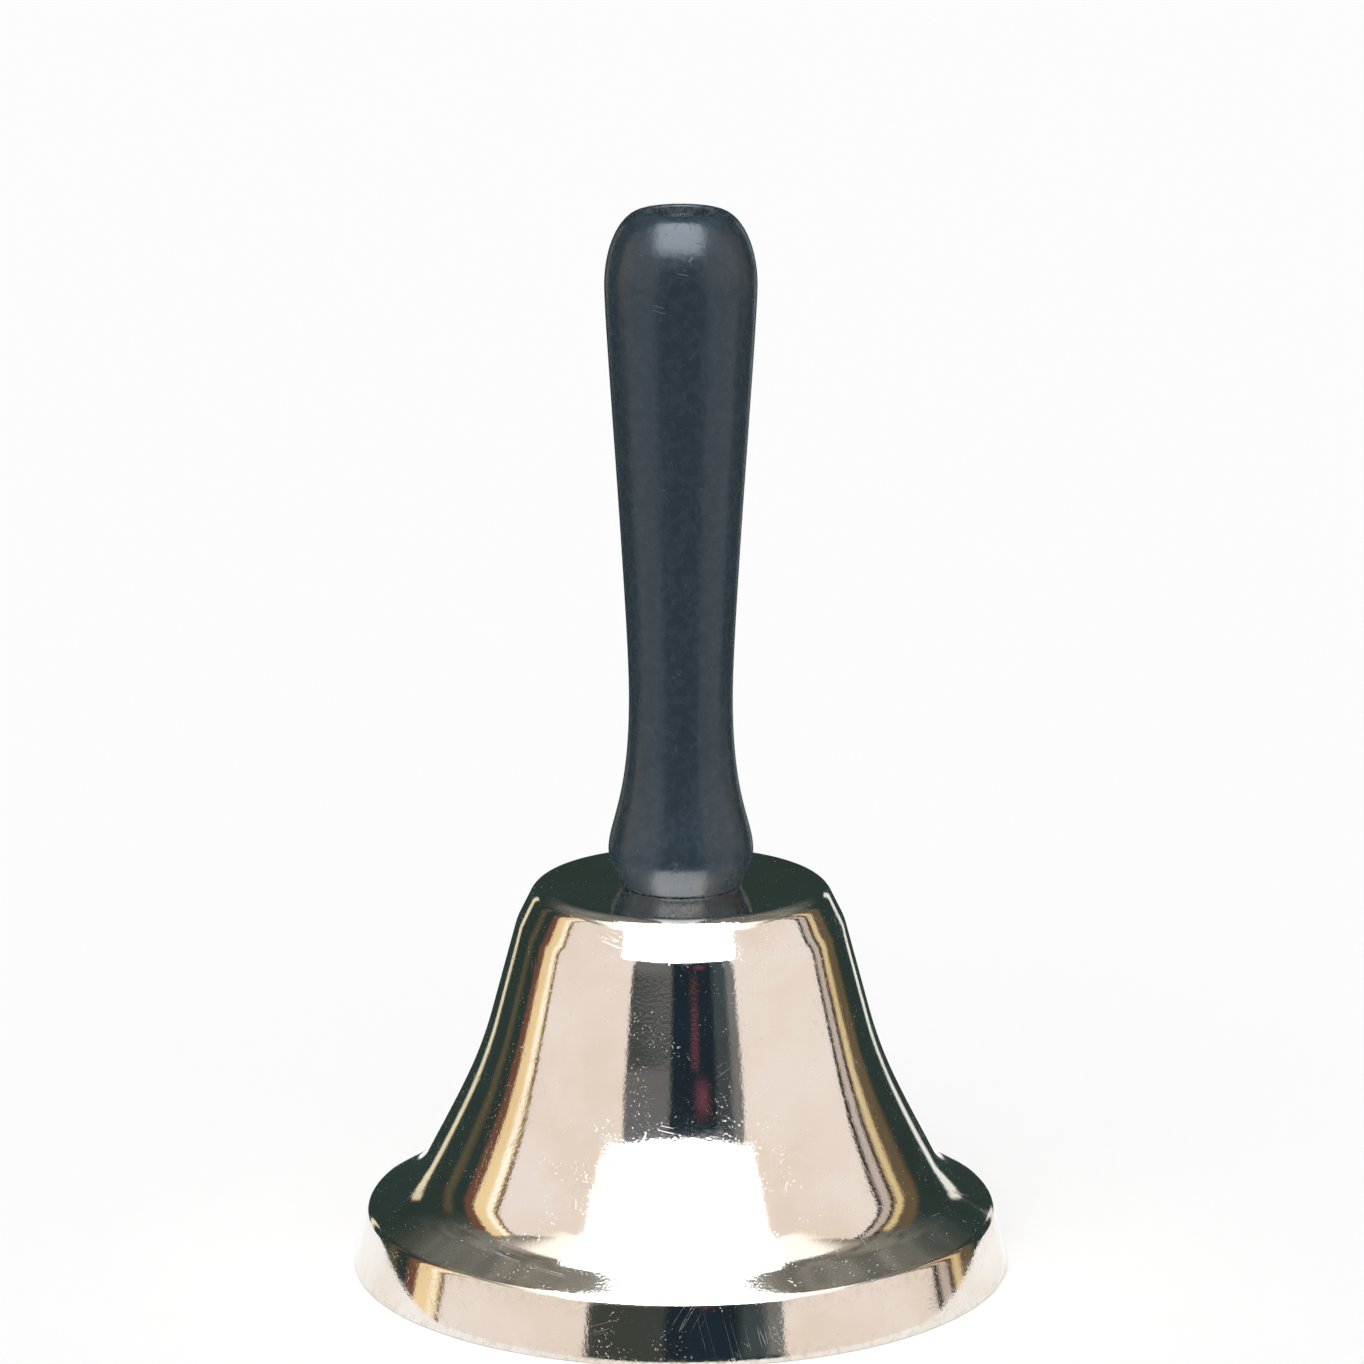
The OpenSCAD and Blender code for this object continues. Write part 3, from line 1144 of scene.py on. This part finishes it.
@dataclass
class Handle:
    """The turned wooden handle, with a foot bead, a narrow neck and a domed grip."""

    foot_height: float = 69.8
    length: float = 120.2
    foot_radius: float = 10.3
    bead_radius: float = 12.8
    bead_rise: float = 6.2
    neck_radius: float = 9.15
    neck_rise: float = 33.7
    grip_radius: float = 13.3
    grip_drop: float = 13.0
    top_radius: float = 6.5
    recess_radius: float = 5.4
    recess_depth: float = 6.6
    bore_radius: float = 2.65
    foot_lip: float = 0.5
    foot_band: float = 0.6
    foot_pull: Pair = (1.4, 2.4)
    bead_pull: float = 5.0
    neck_pull: Pair = (18.6, 14.9)
    grip_pull: float = 7.7
    steps_round: int = 144

    def skin(self) -> list[Spot]:
        """Gives the painted outline from the foot's bevel to the flat ring on top.

        Returns:
            The spots.
        """
        floor = self.foot_height
        band = (self.foot_radius + self.foot_lip, floor + self.foot_band)
        bead = (self.bead_radius, floor + self.bead_rise)
        neck = (self.neck_radius, floor + self.neck_rise)
        grip = (self.grip_radius, floor + self.length - self.grip_drop)
        band_pull = (band[0] + self.foot_lip, band[1] + self.foot_pull[0])
        below_bead = (bead[0], bead[1] - self.foot_pull[1])
        above_bead = (bead[0], bead[1] + self.bead_pull)
        below_neck = (neck[0], neck[1] - self.neck_pull[0])
        above_neck = (neck[0], neck[1] + self.neck_pull[1])
        below_grip = (grip[0], grip[1] - self.grip_pull)
        spots = cubic(band, band_pull, below_bead, bead, 12)
        spots += cubic(bead, above_bead, below_neck, neck, 26)
        spots += cubic(neck, above_neck, below_grip, grip, 44)
        for step in range(24):
            angle = math.pi / 2 * step / 24
            reach = self.top_radius + (self.grip_radius - self.top_radius) * math.cos(angle)
            spots.append(Spot(reach, grip[1] + self.grip_drop * math.sin(angle)))
        return spots

    def outline(self) -> list[Spot]:
        """Gives the whole half section: the skin, the recess for the nut, and the bore.

        Returns:
            The spots.
        """
        floor, top = self.foot_height, self.foot_height + self.length
        recess = top - self.recess_depth
        foot = [
            Spot(self.foot_radius - 0.6, floor, 0.6),
            Spot(self.foot_radius, floor, 0.9),
            Spot(self.foot_radius + 0.2, floor + 0.05, 1.0),
            Spot(self.foot_radius + 0.35, floor + 0.2, 0.8),
        ]
        rim = rounded(
            [
                Corner(self.top_radius, top),
                Corner(self.recess_radius, top, 0.35, 5, 0.9),
                Corner(self.recess_radius, recess, 0.3, 3),
                Corner(self.bore_radius, recess),
            ]
        )
        ends = [Spot(self.bore_radius, recess), Spot(self.bore_radius, floor)]
        spots = foot + self.skin() + rim + ends[1:] + foot[:1]
        return dense(spots, 1.6)

    def build(self) -> None:
        """Makes the handle and puts it on the frame."""
        turning = Turning(PaintedWood(), steps=self.steps_round, waviness=0.06, wave=16.0, seed=8.0)
        fit_to_frame(turning.make("handle_grip", self.outline()), "handle", Body.BELL)


# ---------------------------------------------------------------- bolt, nuts and washers


class EyeSide(Enum):
    """Which side of an eye its rod comes from."""

    ABOVE = 1.0
    BELOW = -1.0


@dataclass(frozen=True)
class WireEye:
    """An eye bent from the end of a rod, closed but for a small gap beside the rod."""

    centre: float
    mean_radius: float
    wire_radius: float
    rod_radius: float
    rod_end: float
    side: EyeSide
    first_turn: float = 42.0
    last_turn: float = 316.0

    def path(self) -> WirePath:
        """Gives the wire's path in the X-Z plane, from the rod's far end round the eye.

        Returns:
            The path.
        """
        sign = self.side.value
        bend = self.centre + sign * self.mean_radius * 1.75
        start = math.radians(self.first_turn)
        meet = (self.mean_radius * math.sin(start), self.centre + sign * self.mean_radius * math.cos(start))
        pull = self.mean_radius * 0.42
        arrive = (meet[0] - pull * math.cos(start), meet[1] + sign * pull * math.sin(start))
        spots = [Spot(0.0, self.rod_end), Spot(0.0, bend + sign * 1.5), Spot(0.0, bend + sign * 0.2)]
        radii = [self.rod_radius, self.rod_radius, self.rod_radius]
        bent = cubic((0.0, bend), (0.0, bend - sign * pull), arrive, meet, 10)
        for number, spot in enumerate(bent):
            share = min(1.0, number / 6)
            spots.append(spot)
            radii.append(self.rod_radius + (self.wire_radius - self.rod_radius) * share)
        turns = 44
        for step in range(turns + 1):
            angle = math.radians(self.first_turn + (self.last_turn - self.first_turn) * step / turns)
            rise = sign * self.mean_radius * math.cos(angle)
            spots.append(Spot(self.mean_radius * math.sin(angle), self.centre + rise))
            radii.append(self.wire_radius * (0.86 if step == turns else 1.0))
        return WirePath([Vector((spot.radius, 0.0, spot.height)) for spot in spots], radii)


@dataclass
class Fastening:
    """The eye bolt that clamps handle and cup, with its two nuts and two washers."""

    eye_centre: float = 56.55
    eye_radius: float = 4.5
    wire_radius: float = 1.75
    bolt_radius: float = 2.5
    thread_pitch: float = 0.8
    thread_depth: float = 0.42
    bolt_bottom: float = 62.4
    bolt_top: float = 189.1
    eye_overlap: float = 4.5
    hole_radius: float = 2.65
    across_flats: float = 8.0
    nut_height: float = 4.0
    crown_nut: float = 63.3
    crown_washer: float = 67.3
    top_washer: float = 183.4
    top_nut: float = 184.4
    washer_height: float = 1.0
    crown_washer_radius: float = 10.0
    top_washer_radius: float = 5.0

    def bolt(self) -> bpy.types.Object:
        """Makes the threaded rod and the eye bent at its foot.

        Returns:
            The piece.
        """
        thread = grow(
            seed_object("eye_bolt_rod", [Vector((0.0, 0.0, 0.0))], [], {}),
            ThreadTree(),
            {
                "Bottom": self.bolt_bottom * MM,
                "Top": self.bolt_top * MM,
                "Radius": self.bolt_radius * MM,
                "Depth": self.thread_depth * MM,
                "Pitch": self.thread_pitch * MM,
                "Steps round": 28,
                "Finish": ZINC.material(),
            },
        )
        core = self.bolt_radius - self.thread_depth
        sizes = (self.eye_centre, self.eye_radius, self.wire_radius, core)
        eye = WireEye(*sizes, self.bolt_bottom + self.eye_overlap, EyeSide.ABOVE)
        return joined([thread, eye.path().make("eye_bolt_eye", ZINC)])

    def nut(self, name: str, bottom: float) -> bpy.types.Object:
        """Makes a hexagon nut with bevelled corners and a countersunk hole.

        Args:
            name: The piece's name.
            bottom: Height of its lower face.

        Returns:
            The nut.
        """
        top = bottom + self.nut_height
        face = self.across_flats * 0.475
        corner = self.across_flats / math.sqrt(3)
        fall = (corner - face) * math.tan(math.radians(30))
        corners = [
            Corner(self.hole_radius, bottom + 0.3),
            Corner(self.hole_radius + 0.35, bottom),
            Corner(face, bottom, wear=0.4),
            Corner(corner, bottom + fall, wear=0.8),
            Corner(corner, top - fall, wear=0.8),
            Corner(face, top, wear=0.4),
            Corner(self.hole_radius + 0.35, top),
            Corner(self.hole_radius, top - 0.3),
        ]
        spots = dense(rounded(corners, closed=True), 0.13)
        turning = Turning(ZINC, steps=96, flats=6, across=self.across_flats)
        return turning.make(name, spots)

    def washer(self, name: str, bottom: float, radius: float) -> bpy.types.Object:
        """Makes a flat washer with rolled edges.

        Args:
            name: The piece's name.
            bottom: Height of its lower face.
            radius: Its outer radius.

        Returns:
            The washer.
        """
        top = bottom + self.washer_height
        corners = [
            Corner(self.hole_radius, bottom, 0.1, 2),
            Corner(radius, bottom, 0.3, 4, 0.5),
            Corner(radius, top, 0.2, 3, 0.5),
            Corner(self.hole_radius, top, 0.1, 2),
        ]
        return Turning(ZINC, steps=80).make(name, dense(rounded(corners, closed=True), 1.0))

    def build(self) -> None:
        """Makes the five pieces and puts them on the frame."""
        pieces = {
            "eye_bolt": self.bolt(),
            "top_nut": self.nut("nut_in_recess", self.top_nut),
            "top_washer": self.washer("washer_in_recess", self.top_washer, self.top_washer_radius),
            "crown_nut": self.nut("nut_under_crown", self.crown_nut),
            "crown_washer": self.washer("washer_under_crown", self.crown_washer, self.crown_washer_radius),
        }
        for node, piece in pieces.items():
            fit_to_frame(piece, node, Body.BELL)


# ---------------------------------------------------------------- ring and clapper


@dataclass
class HangerRing:
    """The plain wire ring that links the bolt's eye to the clapper's eye."""

    centre: float = 50.6
    mean_radius: float = 4.6
    wire_radius: float = 1.1
    seam: float = 1.3

    def build(self) -> None:
        """Makes the ring, with the butted seam of a bent wire, and puts it on the frame."""
        steps = 72
        points, radii = [], []
        for step in range(steps + 1):
            angle = math.radians(90 + self.seam + (360 - 2 * self.seam) * step / steps)
            across = self.mean_radius * math.sin(angle)
            points.append(Vector((0.0, across, self.centre + self.mean_radius * math.cos(angle))))
            radii.append(self.wire_radius * (0.9 if step in (0, steps) else 1.0))
        piece = WirePath(points, radii).make("link_ring", DRAWN_WIRE)
        fit_to_frame(piece, "hanger_ring", Body.RING)


@dataclass
class Clapper:
    """The clapper: a rod with an eye at its top and a turned ball riveted at its foot."""

    eye_centre: float = 45.0
    eye_radius: float = 3.6
    wire_radius: float = 1.2
    rod_radius: float = 1.5
    ball_centre: float = 12.5
    ball_radius: float = 10.0
    seat_height: float = 2.95
    head_radius: float = 2.6
    head_height: float = 0.9
    head_dome: float = 0.65
    gap: float = 0.15

    def rod(self) -> bpy.types.Object:
        """Makes the rod, its eye and the riveted head.

        Returns:
            The piece.
        """
        sizes = (self.eye_centre, self.eye_radius, self.wire_radius, self.rod_radius)
        eye = WireEye(*sizes, self.seat_height, EyeSide.BELOW)
        foot = self.seat_height - self.head_height
        spots = [Spot(0.0, foot, 0.6)]
        for step in range(1, 11):
            angle = math.pi / 2 * step / 10
            rise = self.head_dome * (1 - math.cos(angle))
            spots.append(Spot(self.head_radius * math.sin(angle), foot + rise, 0.6))
        spots += [Spot(self.head_radius, self.seat_height, 0.3), Spot(0.0, self.seat_height)]
        head = Turning(DRAWN_WIRE, steps=48).make("clapper_head", dense(spots, 0.6))
        return joined([eye.path().make("clapper_rod_and_eye", DRAWN_WIRE), head])

    def ball(self) -> bpy.types.Object:
        """Makes the ball, bored for the rod and sunk for the head.

        Returns:
            The piece.
        """
        bore = self.rod_radius + self.gap
        sink = self.head_radius + self.gap
        top = math.asin(bore / self.ball_radius)
        bottom = math.pi - math.asin(sink / self.ball_radius)
        steps = 56
        spots = []
        for step in range(steps + 1):
            angle = top + (bottom - top) * step / steps
            reach = self.ball_radius * math.sin(angle)
            spots.append(Spot(reach, self.ball_centre + self.ball_radius * math.cos(angle)))
        spots += [Spot(sink, self.seat_height), Spot(bore, self.seat_height), spots[0]]
        return Turning(TURNED_STEEL, steps=96).make("clapper_bob", dense(spots, 2.0))

    def build(self) -> None:
        """Makes rod and ball and puts them on the frame."""
        fit_to_frame(self.rod(), "clapper_rod", Body.CLAPPER)
        fit_to_frame(self.ball(), "clapper_ball", Body.CLAPPER)


# ---------------------------------------------------------------- the studio


@dataclass(frozen=True)
class Card:
    """A light or dark patch of the studio, by the directions that it fills seen from the bell.

    Azimuth is in degrees from the front, to the right. Elevation is above the horizon.
    """

    azimuth: Pair
    elevation: Pair
    glow: Colour
    soft: float = 1.0


@dataclass
class Studio:
    """The floor, the soft light and the surroundings that the polished metal mirrors."""

    reach: float = 8.0
    floor_size: float = 30.0
    floor_white: Colour = (0.90, 0.90, 0.90)
    sheet_radius: float = 0.10
    sheet_lift: float = 0.00005
    sheet_glow: float = 1.05
    lens: float = 184.75
    camera_place: Triple = (0.0002, -1.1909, 0.4008)
    look_down: float = 13.8925
    lamp_strength: float = 0.8
    lamp_spread: float = 50.0
    lamp_turn: Triple = (28.0, -8.0, 0.0)
    ambient: float = 0.865
    shade: Colour = (0.030, 0.050, 0.046)
    ceiling: Colour = (0.28, 0.275, 0.25)
    below: Colour = (0.40, 0.39, 0.36)
    overhead: Colour = (6.4, 6.9, 7.4)
    wing: Colour = (1.45, 1.42, 1.36)
    cards: tuple[Card, ...] = (
        Card((-33.0, -6.0), (3.0, 37.0), (0.165, 0.172, 0.182), 1.5),
        Card((-6.0, 21.0), (3.0, 37.0), (0.016, 0.028, 0.042), 2.0),
        Card((-33.0, -6.0), (3.0, 13.4), (0.058, 0.068, 0.064), 1.2),
        Card((6.0, 11.0), (9.0, 13.4), (0.180, 0.070, 0.080), 1.5),
        Card((9.0, 16.0), (17.0, 24.0), (0.150, 0.060, 0.080), 3.0),
        Card((21.0, 36.0), (3.0, 37.0), (0.060, 0.080, 0.092), 2.0),
        Card((30.0, 36.0), (3.0, 37.0), (0.200, 0.210, 0.210), 2.0),
        Card((-96.0, -38.0), (-34.0, -5.0), (0.700, 0.710, 0.720), 3.0),
        Card((40.0, 98.0), (-34.0, -5.0), (0.700, 0.710, 0.720), 3.0),
        Card((-92.0, -33.0), (-3.0, 43.0), (0.955, 0.880, 0.830)),
        Card((36.0, 101.0), (-3.0, 46.0), (0.955, 0.880, 0.830)),
        Card((-112.0, -62.0), (46.0, 58.0), (0.420, 0.400, 0.350), 3.0),
        Card((62.0, 112.0), (48.0, 58.0), (0.420, 0.400, 0.350), 3.0),
        Card((-94.0, -92.0), (-12.0, 43.0), (0.260, 0.170, 0.080), 0.5),
        Card((-107.0, -94.0), (-12.0, 43.0), (0.990, 0.780, 0.450)),
        Card((-99.0, -95.5), (-2.0, 43.0), (1.250, 1.230, 1.080), 1.5),
        Card((-113.0, -107.0), (-14.0, 38.0), (0.180, 0.085, 0.060), 1.5),
        Card((-128.0, -122.0), (-14.0, 24.0), (0.110, 0.100, 0.060), 2.5),
        Card((-150.5, -145.0), (-12.0, 15.0), (0.900, 0.830, 0.600), 1.2),
        Card((101.0, 103.5), (-12.0, 46.0), (0.030, 0.024, 0.024), 0.7),
        Card((103.5, 109.0), (-12.0, 44.0), (0.620, 0.550, 0.500), 1.2),
        Card((109.0, 112.0), (-12.0, 42.0), (0.070, 0.045, 0.038), 0.8),
        Card((112.0, 118.0), (-12.0, 38.0), (0.820, 0.660, 0.380), 1.8),
        Card((118.0, 128.0), (-12.0, 36.0), (0.150, 0.115, 0.070), 2.5),
        Card((151.0, 157.0), (-14.0, 14.0), (0.950, 0.980, 0.950), 1.2),
    )

    def surroundings(self) -> None:
        """Makes the dome that only mirror reflections see."""
        mesh = bpy.data.meshes.new("studio_surroundings")
        skin = bmesh.new()
        bmesh.ops.create_icosphere(skin, subdivisions=4, radius=self.reach)
        skin.to_mesh(mesh)
        skin.free()
        dome = bpy.data.objects.new("studio_surroundings", mesh)
        bpy.context.scene.collection.objects.link(dome)
        made = bpy.data.materials.new("studio_surroundings")
        made.use_nodes = True
        made.node_tree.nodes.clear()
        made.cycles.emission_sampling = "NONE"
        graph = Graph(made.node_tree)
        glow = graph.node("ShaderNodeEmission", {"Color": self.seen(graph), "Strength": 1.0})
        graph.node("ShaderNodeOutputMaterial", {"Surface": glow.outputs[0]})
        mesh.materials.append(made)
        self.mirror_only(dome)

    def mirror_only(self, made: bpy.types.Object) -> None:
        """Hides a studio object from everything but mirror reflections.

        Args:
            made: The object.
        """
        made.visible_camera = False
        made.visible_diffuse = False
        made.visible_transmission = False
        made.visible_shadow = False

    def seen(self, graph: Graph) -> Socket:
        """Wires the colour of every direction: dark walls, grey ceiling, white canopy and the cards.

        Args:
            graph: The dome material's nodes.

        Returns:
            The colour.
        """
        place = graph.place()
        x, y, z = graph.split(graph.vector("NORMALIZE", place))
        front = graph.math("MULTIPLY", y, -1.0)
        azimuth = graph.math("DEGREES", graph.math("ARCTAN2", x, front))
        elevation = graph.math("DEGREES", graph.math("ARCSINE", z))
        mottle = graph.ramp(graph.noise(place, 900.0, 4.0, 0.6), 0.40, 0.66)
        ripple = graph.noise(place, 420.0, 3.0, seed=4.0)
        azimuth = graph.math("ADD", azimuth, graph.math("MULTIPLY_ADD", ripple, 3.6, -1.8))
        colour = graph.mix(graph.ramp(elevation, 22.0, 50.0), self.shade, self.ceiling)
        colour = graph.mix(graph.ramp(elevation, -30.0, -22.0, 1.0, 0.0), colour, self.below)
        colour = graph.mix(graph.math("MULTIPLY", mottle, 0.55), colour, self.shade)
        for card in self.cards:
            colour = graph.mix(self.patch(graph, azimuth, elevation, card), colour, card.glow)
        up = graph.math("MAXIMUM", z, 0.01)
        side, ahead = graph.math("DIVIDE", x, up), graph.math("DIVIDE", front, up)
        wide = graph.math("ABSOLUTE", side)
        ahead_squared = graph.math("MULTIPLY", ahead, ahead)
        reach = graph.math("SQRT", graph.math("MULTIPLY_ADD", side, side, ahead_squared))
        left = graph.math("ADD", side, graph.math("MULTIPLY_ADD", ahead, 0.55, 0.50))
        right = graph.math("SUBTRACT", graph.math("MULTIPLY_ADD", ahead, 0.53, 0.40), side)
        shares = [
            graph.ramp(ahead, -0.24, -0.20),
            graph.ramp(reach, 1.66, 1.71, 1.0, 0.0),
            graph.ramp(left, -0.02, 0.02),
            graph.ramp(right, -0.02, 0.02),
            graph.ramp(z, 0.02, 0.05),
        ]
        room = graph.math("SUBTRACT", graph.math("MULTIPLY_ADD", ahead, 0.50, 0.86), wide)
        wing = [
            graph.ramp(graph.math("MULTIPLY_ADD", wide, 0.30, ahead), 0.0, 0.08),
            graph.ramp(room, -0.10, 0.22),
            graph.ramp(ahead, 0.55, 0.80, 1.0, 0.0),
            graph.ramp(z, 0.02, 0.05),
        ]
        colour = graph.mix(graph.product(wing), colour, self.wing)
        return graph.mix(graph.product(shares), colour, self.overhead)

    def patch(self, graph: Graph, azimuth: Socket, elevation: Socket, card: Card) -> Socket:
        """Gives 1 inside a card's directions and 0 outside them.

        Args:
            graph: The dome material's nodes.
            azimuth: The direction's azimuth.
            elevation: Its elevation.
            card: The card.

        Returns:
            The card's share.
        """
        shares = []
        for value, (low, high) in ((azimuth, card.azimuth), (elevation, card.elevation)):
            shares.append(graph.ramp(value, low - card.soft, low + card.soft))
            shares.append(graph.ramp(value, high - card.soft, high + card.soft, 1.0, 0.0))
        return graph.product(shares)

    def floor(self) -> None:
        """Makes the plain pale floor, and the white sheet near the bell that the lip mirrors."""
        half = self.floor_size / 2
        corners = [(-half, -half, 0), (half, -half, 0), (half, half, 0), (-half, half, 0)]
        mesh = bpy.data.meshes.new("floor")
        mesh.from_pydata(corners, [], [(0, 1, 2, 3)])
        floor = bpy.data.objects.new("floor", mesh)
        bpy.context.scene.collection.objects.link(floor)
        made = bpy.data.materials.new("floor")
        made.use_nodes = True
        shader = made.node_tree.nodes["Principled BSDF"]
        shader.inputs["Base Color"].default_value = (*self.floor_white, 1.0)
        shader.inputs["Roughness"].default_value = 0.9
        shader.inputs["Specular IOR Level"].default_value = 0.0
        mesh.materials.append(made)
        floor.visible_glossy = False
        sheet_mesh = bpy.data.meshes.new("floor_sheet")
        skin = bmesh.new()
        bmesh.ops.create_circle(skin, cap_ends=True, segments=96, radius=self.sheet_radius)
        bmesh.ops.translate(skin, verts=skin.verts, vec=(0.0, 0.0, self.sheet_lift))
        skin.to_mesh(sheet_mesh)
        skin.free()
        sheet = bpy.data.objects.new("floor_sheet", sheet_mesh)
        bpy.context.scene.collection.objects.link(sheet)
        white = bpy.data.materials.new("floor_sheet")
        white.use_nodes = True
        white.node_tree.nodes.clear()
        white.cycles.emission_sampling = "NONE"
        graph = Graph(white.node_tree)
        feeds = {"Color": (1.0, 1.0, 1.0, 1.0), "Strength": self.sheet_glow}
        glow = graph.node("ShaderNodeEmission", feeds)
        graph.node("ShaderNodeOutputMaterial", {"Surface": glow.outputs[0]})
        sheet_mesh.materials.append(white)
        self.mirror_only(sheet)

    def light(self) -> None:
        """Sets the even room light and one broad soft lamp, neither of which the metal mirrors."""
        world = bpy.data.worlds.new("studio_light")
        world.use_nodes = True
        world.node_tree.nodes["Background"].inputs["Color"].default_value = (self.ambient,) * 3 + (1.0,)
        world.cycles_visibility.glossy = False
        bpy.context.scene.world = world
        lamp = bpy.data.lights.new("soft_lamp", "SUN")
        lamp.energy = self.lamp_strength
        lamp.angle = math.radians(self.lamp_spread)
        holder = bpy.data.objects.new("soft_lamp", lamp)
        holder.rotation_euler = Euler(tuple(math.radians(turn) for turn in self.lamp_turn))
        holder.visible_glossy = False
        bpy.context.scene.collection.objects.link(holder)
        bpy.context.scene.view_settings.view_transform = "Standard"

    def camera(self) -> None:
        """Sets the camera in front of the bell, a little above it, with a long lens."""
        data = bpy.data.cameras.new("camera")
        data.lens = self.lens
        data.clip_start = 0.05
        data.clip_end = 100.0
        holder = bpy.data.objects.new("camera", data)
        holder.location = self.camera_place
        holder.rotation_euler = Euler((math.radians(90 - self.look_down), 0.0, 0.0))
        bpy.context.scene.collection.objects.link(holder)
        bpy.context.scene.camera = holder

    def build(self) -> None:
        """Sets up the whole studio."""
        self.camera()
        self.light()
        self.floor()
        self.surroundings()


# ---------------------------------------------------------------- the whole bell


@dataclass
class HandBell:
    """The whole hand bell, from its sub-assemblies."""

    cup: Cup = field(default_factory=Cup)
    handle: Handle = field(default_factory=Handle)
    fastening: Fastening = field(default_factory=Fastening)
    ring: HangerRing = field(default_factory=HangerRing)
    clapper: Clapper = field(default_factory=Clapper)

    def build(self) -> None:
        """Builds every sub-assembly in order."""
        for part in (self.cup, self.handle, self.fastening, self.ring, self.clapper):
            LOG.info("building %s", type(part).__name__)
            part.build()


def main() -> None:
    """Loads the frame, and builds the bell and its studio."""
    logging.basicConfig(level=logging.INFO, format="%(name)s: %(message)s")
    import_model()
    HandBell().build()
    Studio().build()


if __name__ == "__main__":
    main()
